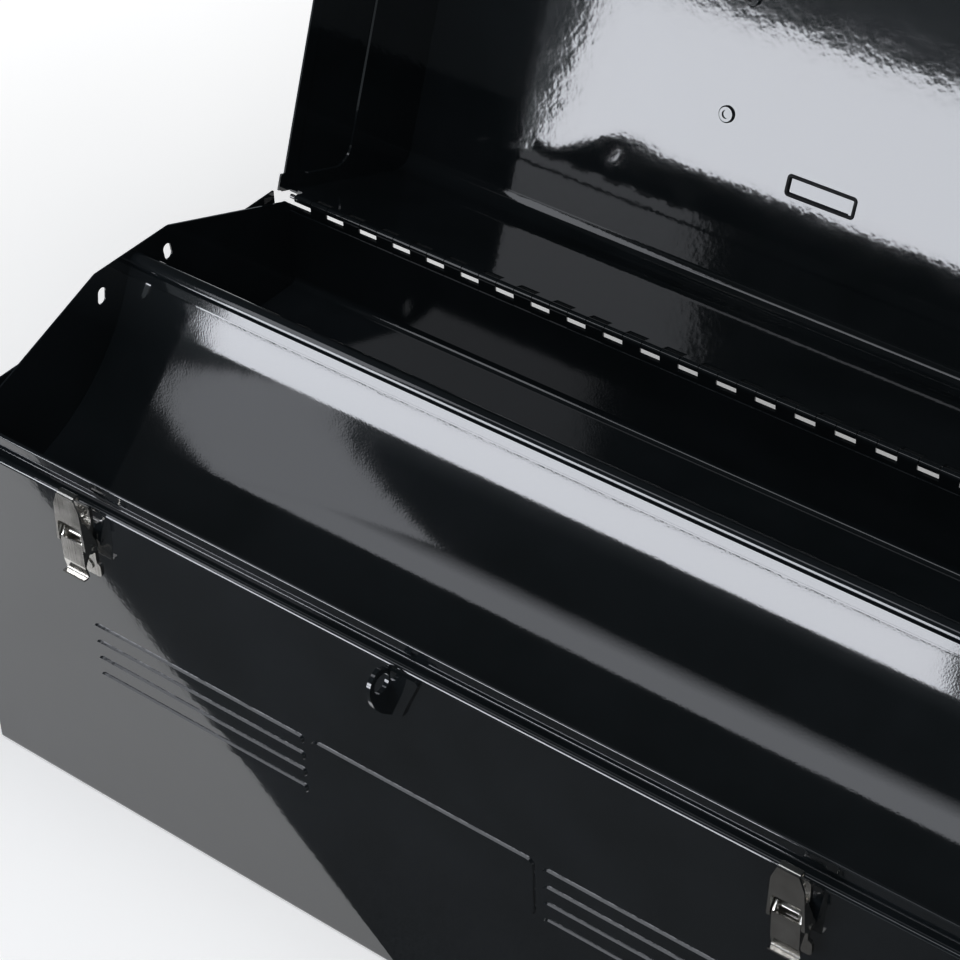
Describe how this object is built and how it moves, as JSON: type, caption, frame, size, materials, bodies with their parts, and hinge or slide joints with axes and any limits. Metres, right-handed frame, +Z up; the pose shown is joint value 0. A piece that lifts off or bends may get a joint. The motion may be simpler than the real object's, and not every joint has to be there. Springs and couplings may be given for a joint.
{
  "type": "tool chest",
  "caption": "Lidded sheet-steel tool chest with a piano-hinged lid, draw latches, padlock ears, a bail handle and a lift-out tote tray.",
  "frame": {"origin": "centre of the chest's underside, in the plane it stands on", "axes": "+X to the chest's right along its length, +Y to the back where the lid is hinged, +Z up"},
  "size_m": [0.6542, 0.5072, 0.5184],
  "materials": {
    "enamel": "gloss black baked enamel with a fine orange peel",
    "nickel": "bright nickel plate, lightly brushed",
    "steel": "drawn wire",
    "grip": "satin moulded"
  },
  "bodies": {
    "chest": {"chest_wrap": "enamel", "chest_end_left": "enamel", "chest_end_right": "enamel", "tray_rest_left": "enamel", "tray_rest_right": "enamel", "padlock_ear_chest": "enamel", "hinge_leaf_chest": "enamel", "hinge_pin": "steel", "latch_base_left": "nickel", "latch_base_right": "nickel", "latch_rivets_left": "nickel", "latch_rivets_right": "nickel", "lever_pin_left": "nickel", "lever_pin_right": "nickel"},
    "lid": {"lid_wrap": "enamel", "lid_end_left": "enamel", "lid_end_right": "enamel", "hinge_leaf_lid": "enamel", "padlock_ear_lid": "enamel", "latch_catch_left": "nickel", "latch_catch_right": "nickel", "lid_front_rivets": "nickel", "handle_bracket_left": "enamel", "handle_bracket_right": "enamel", "handle_rivets": "nickel"},
    "handle": {"handle_bail": "nickel", "handle_grip": "grip"},
    "tray": {"tray_trough": "enamel", "tray_end_left": "enamel", "tray_end_right": "enamel"},
    "lever_left": {"latch_lever_left": "nickel", "strap_pin_left": "nickel"},
    "lever_right": {"latch_lever_right": "nickel", "strap_pin_right": "nickel"},
    "strap_left": {"latch_strap_left": "nickel"},
    "strap_right": {"latch_strap_right": "nickel"}
  },
  "joints": [
    {"name": "lid_hinge", "type": "hinge", "parent": "chest", "child": "lid", "pos_m": [0, 0.1403, 0.235], "axis": [1, 0, 0], "range_deg": [0, 110.6]},
    {"name": "tray_lift", "type": "slide", "parent": "chest", "child": "tray", "axis": [0, 0, -1], "range_m": [-0.12, 0]},
    {"name": "handle_swing", "type": "hinge", "parent": "lid", "child": "handle", "pos_m": [0, 0.30737, 0.32209], "axis": [1, 0, 0], "range_deg": [-12.5, 150]},
    {"name": "latch_lever_left", "type": "hinge", "parent": "chest", "child": "lever_left", "pos_m": [-0.2235, -0.146, 0.214], "axis": [-1, 0, 0], "range_deg": [0, 110]},
    {"name": "latch_strap_left", "type": "hinge", "parent": "lever_left", "child": "strap_left", "pos_m": [-0.2235, -0.1439, 0.2065], "axis": [-1, 0, 0], "range_deg": [-110, 0]},
    {"name": "latch_lever_right", "type": "hinge", "parent": "chest", "child": "lever_right", "pos_m": [0.2235, -0.146, 0.214], "axis": [-1, 0, 0], "range_deg": [0, 110]},
    {"name": "latch_strap_right", "type": "hinge", "parent": "lever_right", "child": "strap_right", "pos_m": [0.2235, -0.1439, 0.2065], "axis": [-1, 0, 0], "range_deg": [-110, 0]}
  ],
  "couplings": [
    {"joint": "latch_strap_left", "follows": "latch_lever_left", "ratio": -1},
    {"joint": "latch_strap_right", "follows": "latch_lever_right", "ratio": -1}
  ]
}
